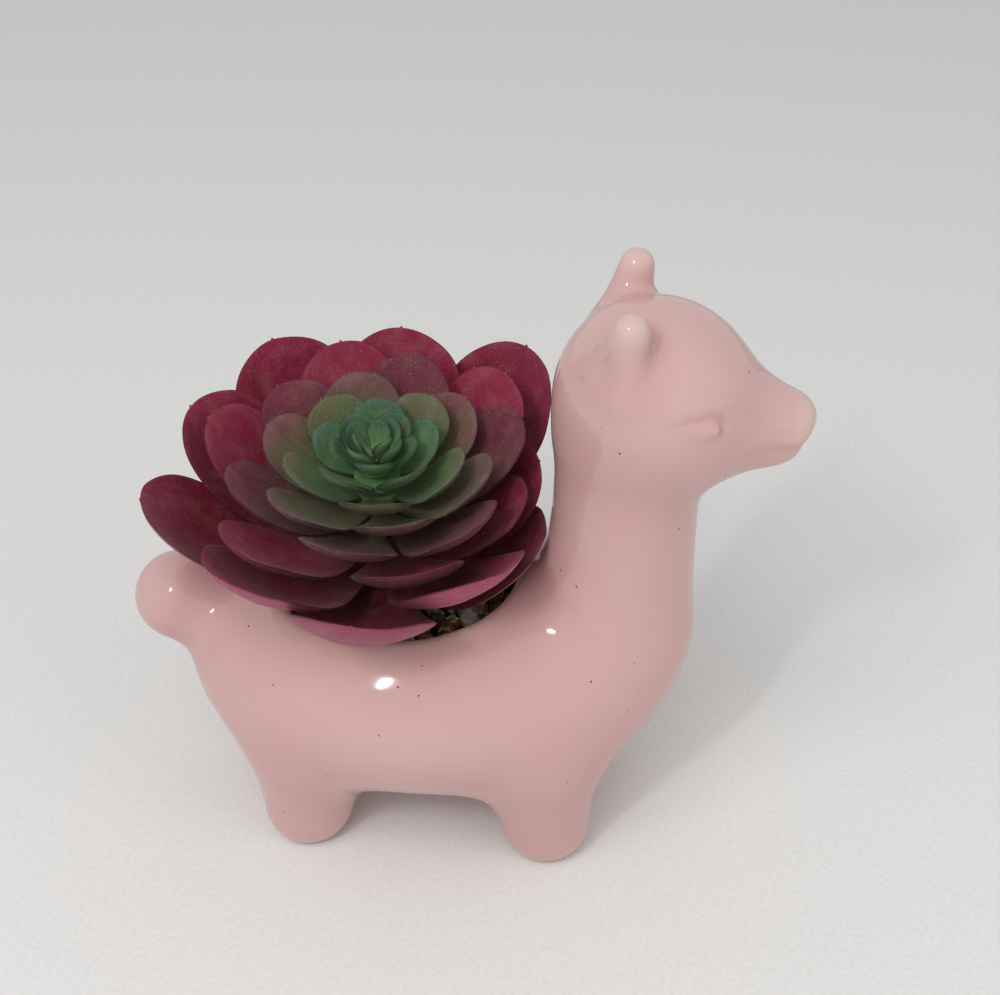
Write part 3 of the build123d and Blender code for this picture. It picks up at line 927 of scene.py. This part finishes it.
def leaf_finish(name, root, middle, tip, under, edge):
    """Sprayed vinyl: colour changes along the leaf, with fine veins, a dark edge and powder."""
    vinyl = Finish(name, roughness=0.6)
    along = vinyl.attribute("along")
    blotch = vinyl.noise(110.0, 3.0)
    drift = vinyl.math("ADD", along, vinyl.map_range(blotch, 0.3, 0.7, -0.12, 0.12))
    face = vinyl.mix(vinyl.map_range(drift, 0.15, 0.48), root, middle)
    face = vinyl.mix(vinyl.map_range(drift, 0.55, 0.98), face, tip)
    back = vinyl.mix(vinyl.map_range(drift, 0.15, 0.55), root, under)
    colour = vinyl.mix(vinyl.attribute("upper"), back, face)
    darker = vinyl.map_range(vinyl.attribute("leaf_tone"), 0.0, 1.0, 0.0, 0.25)
    colour = vinyl.mix(darker, colour, edge)
    on_leaf = vinyl.node("ShaderNodeCombineXYZ")
    vinyl.wire(vinyl.math("MULTIPLY", along, 1.6), on_leaf.inputs["X"])
    vinyl.wire(vinyl.math("MULTIPLY", vinyl.attribute("across"), 9.0), on_leaf.inputs["Y"])
    vinyl.wire(vinyl.math("MULTIPLY", vinyl.attribute("leaf_tone"), 40.0), on_leaf.inputs["Z"])
    veins = vinyl.noise(2.2, 4.0, on_leaf.outputs["Vector"])
    colour = vinyl.mix(vinyl.map_range(veins, 0.50, 0.78, 0.0, 0.35), colour, edge)
    rim = vinyl.map_range(vinyl.attribute("inward"), 0.00055, 0.00015, 0.0, 0.8)
    colour = vinyl.mix(rim, colour, edge)
    powder = vinyl.map_range(vinyl.noise(3200.0, 1.0), 0.66, 0.76, 0.0, 0.45)
    film = vinyl.map_range(vinyl.noise(240.0, 4.0), 0.42, 0.80, 0.0, 0.10)
    colour = vinyl.mix(vinyl.math("MAXIMUM", powder, film), colour, leaf_powder)
    vinyl.wire(colour, vinyl.shader.inputs["Base Color"])
    vinyl.wire(vinyl.map_range(blotch, 0.3, 0.7, 0.50, 0.66), vinyl.shader.inputs["Roughness"])
    vinyl.shader.inputs["Specular IOR Level"].default_value = 0.30
    vinyl.shader.inputs["Subsurface Weight"].default_value = 0.10
    vinyl.shader.inputs["Subsurface Radius"].default_value = (0.004, 0.0015, 0.0015)
    vinyl.shader.inputs["Subsurface Scale"].default_value = 0.5
    vinyl.shader.inputs["Sheen Weight"].default_value = 0.06
    relief = vinyl.math("ADD", vinyl.noise(700.0, 4.0), vinyl.math("MULTIPLY", veins, 1.5))
    vinyl.bump(relief, 0.0004, 0.4)
    return vinyl.material


leaf_powder = tint(206, 168, 172)
deep_red = tint(100, 16, 34)
crimson = tint(124, 22, 46)
raspberry = tint(142, 36, 66)
rose = tint(160, 64, 92)
blush = tint(150, 82, 84)
maroon = tint(70, 12, 28)
mauve = tint(116, 70, 72)
plum = tint(112, 44, 60)
olive = tint(108, 104, 72)
moss = tint(89, 116, 70)
leaf_green = tint(89, 131, 80)
heart_green = tint(126, 166, 102)
teal = tint(73, 107, 82)
dark_green = tint(34, 56, 42)

# Each layer: node, slot, leaves, first azimuth in degrees, then reach, tip height, half width and
# cup as shares of the whorl's own above, and curl in degrees
whorls = (
    ("leaf_whorl_1", "outer_leaf", 5, 200, 1.00, 1.12, 1.00, 1.00, 37),
    ("leaf_whorl_2", "outer_leaf", 5, 236, 0.92, 1.16, 0.95, 0.90, 34),
    ("leaf_whorl_3", "outer_leaf", 6, 230, 0.79, 1.18, 0.78, 0.60, 28),
    ("leaf_whorl_4", "middle_leaf", 6, 202, 0.65, 1.19, 0.67, 0.48, 24),
    ("leaf_whorl_5", "middle_leaf", 6, 228, 0.52, 1.20, 0.58, 0.40, 22),
    ("leaf_whorl_6", "inner_leaf", 5, 204, 0.40, 1.22, 0.50, 0.36, 22),
    ("leaf_whorl_7", "inner_leaf", 5, 240, 0.28, 1.25, 0.40, 0.30, 22),
)
# The colours of each layer, at root, middle, tip, underside and edge
whorl_colours = (
    (deep_red, crimson, raspberry, rose, maroon),
    (blush, crimson, raspberry, rose, maroon),
    (blush, raspberry, raspberry, plum, maroon),
    (olive, mauve, plum, mauve, maroon),
    (olive, olive, mauve, mauve, dark_green),
    (moss, moss, olive, olive, dark_green),
    (leaf_green, leaf_green, teal, moss, dark_green),
)
for level, (shape, colours) in enumerate(zip(whorls, whorl_colours)):
    node, slot, leaves, first, reach, height, width, cup, curl = shape
    finish = leaf_finish(node + "_vinyl", *colours)
    root_height = collar_height + hub_pitch * (level + 0.5)
    leaf = leaf_template(
        "leaf",
        root_reach,
        whorl_reach * reach - root_reach,
        whorl_tip_height * height - root_height,
        math.radians(curl),
        whorl_half_width * width,
        whorl_cup * cup,
    )
    layer = grown(
        node.replace("leaf_whorl", "rosette_layer"),
        whorl_tree,
        {
            "Leaf": leaf,
            "Leaves": leaves,
            "First azimuth": math.radians(first),
            "Reach": whorl_reach * reach,
            "Neck distance": neck_distance - neck_layer_gap * level,
            "Root height": root_height,
            "Hub radius": hub_radius,
            "Hub height": hub_pitch,
            "Ripple": leaf_ripple * (leaf_ripple_least + (1 - leaf_ripple_least) * reach),
            "Seed": level,
            "Finish": finish,
        },
    )
    bpy.data.objects.remove(leaf)
    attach(layer, "succulent")
    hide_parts(node)

leaflet_root = 0.0006
leaflet_curl = math.radians(30)
leaflet_ripple = 0.0003
heart_hub_radius = 0.0030
heart_hub_taper = 0.0004
heart_hub_height = 0.0022

# Each ring of the heart: leaflets, first azimuth in degrees, reach, height of root and of tip,
# half width, cup
heart_rings = (
    (5, 205, 0.0086, 0.0390, 0.0472, 0.0046, 0.0020),
    (4, 240, 0.0058, 0.0404, 0.0480, 0.0036, 0.0016),
    (3, 200, 0.0034, 0.0420, 0.0486, 0.0027, 0.0013),
)
heart_vinyl = leaf_finish("heart_vinyl", heart_green, leaf_green, teal, leaf_green, dark_green)
heart_parts = []
for level, shape in enumerate(heart_rings):
    leaves, first, reach, root_height, tip_height, half_width, cup = shape
    rise = tip_height - root_height
    leaf = leaf_template("leaflet", leaflet_root, reach, rise, leaflet_curl, half_width, cup)
    heart_parts.append(
        grown(
            "heart_of_leaflets",
            whorl_tree,
            {
                "Leaf": leaf,
                "Leaves": leaves,
                "First azimuth": math.radians(first),
                "Reach": reach,
                "Neck distance": neck_distance,
                "Root height": root_height,
                "Hub radius": heart_hub_radius - heart_hub_taper * level,
                "Hub height": heart_hub_height,
                "Ripple": leaflet_ripple,
                "Seed": level,
                "Finish": heart_vinyl,
            },
        )
    )
    bpy.data.objects.remove(leaf)
heart = heart_parts[0]
with bpy.context.temp_override(active_object=heart, selected_editable_objects=heart_parts):
    bpy.ops.object.join()
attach(heart, "succulent")
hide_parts("heart_bud")


# A plain pale table top, one large soft lamp ahead and above, a weak one from the side, and a
# small tall one that alone is mirrored in the glaze.
floor_size = 3.0
floor_corners = ((-1, -1), (1, -1), (1, 1), (-1, 1))
floor_grey = tint(226, 226, 224)
floor_light = tint(232, 232, 230)
daylight = 0.55
backdrop_level = 0.80
lamp_aim = (0, 0, 0.06)

# Each lamp: name, place, width and height, power, and whether the glaze mirrors it
lamps = (
    ("key_lamp", (-0.25, -0.60, 0.85), (0.80, 0.80), 4.0, False),
    ("fill_lamp", (0.70, -0.35, 0.45), (0.60, 0.60), 1.0, False),
    ("glint_lamp", (-0.20, -0.50, 0.60), (0.045, 0.130), 0.80, True),
)

floor = mesh_object(
    "table_top",
    [(x * floor_size, y * floor_size, 0) for x, y in floor_corners],
    [(0, 1, 2, 3)],
)
table = Finish("table_top", roughness=0.9)
grain = table.map_range(table.noise(900.0, 2.0), 0.3, 0.7)
table.wire(table.mix(grain, floor_grey, floor_light), table.shader.inputs["Base Color"])
floor.data.materials.append(table.material)

for name, place, size, power, mirrored in lamps:
    lamp_data = bpy.data.lights.new(name, "AREA")
    lamp_data.shape = "ELLIPSE"
    lamp_data.size, lamp_data.size_y = size
    lamp_data.energy = power
    lamp = bpy.data.objects.new(name, lamp_data)
    bpy.context.scene.collection.objects.link(lamp)
    lamp.visible_glossy = mirrored
    lamp.location = place
    aim = Vector(lamp_aim) - Vector(place)
    lamp.rotation_euler = aim.to_track_quat("-Z", "Y").to_euler()

world = bpy.data.worlds.new("studio")
bpy.context.scene.world = world
world.use_nodes = True
sky = world.node_tree
backdrop = sky.nodes["Background"]
rays = sky.nodes.new("ShaderNodeLightPath")
seen = sky.nodes.new("ShaderNodeMath")
seen.operation = "MAXIMUM"
sky.links.new(rays.outputs["Is Camera Ray"], seen.inputs[0])
sky.links.new(rays.outputs["Is Glossy Ray"], seen.inputs[1])
level = sky.nodes.new("ShaderNodeMapRange")
sky.links.new(seen.outputs["Value"], level.inputs["Value"])
level.inputs["To Min"].default_value = daylight
level.inputs["To Max"].default_value = backdrop_level
backdrop.inputs["Color"].default_value = (1, 1, 1, 1)
sky.links.new(level.outputs["Result"], backdrop.inputs["Strength"])
bpy.context.scene.view_settings.view_transform = "Standard"
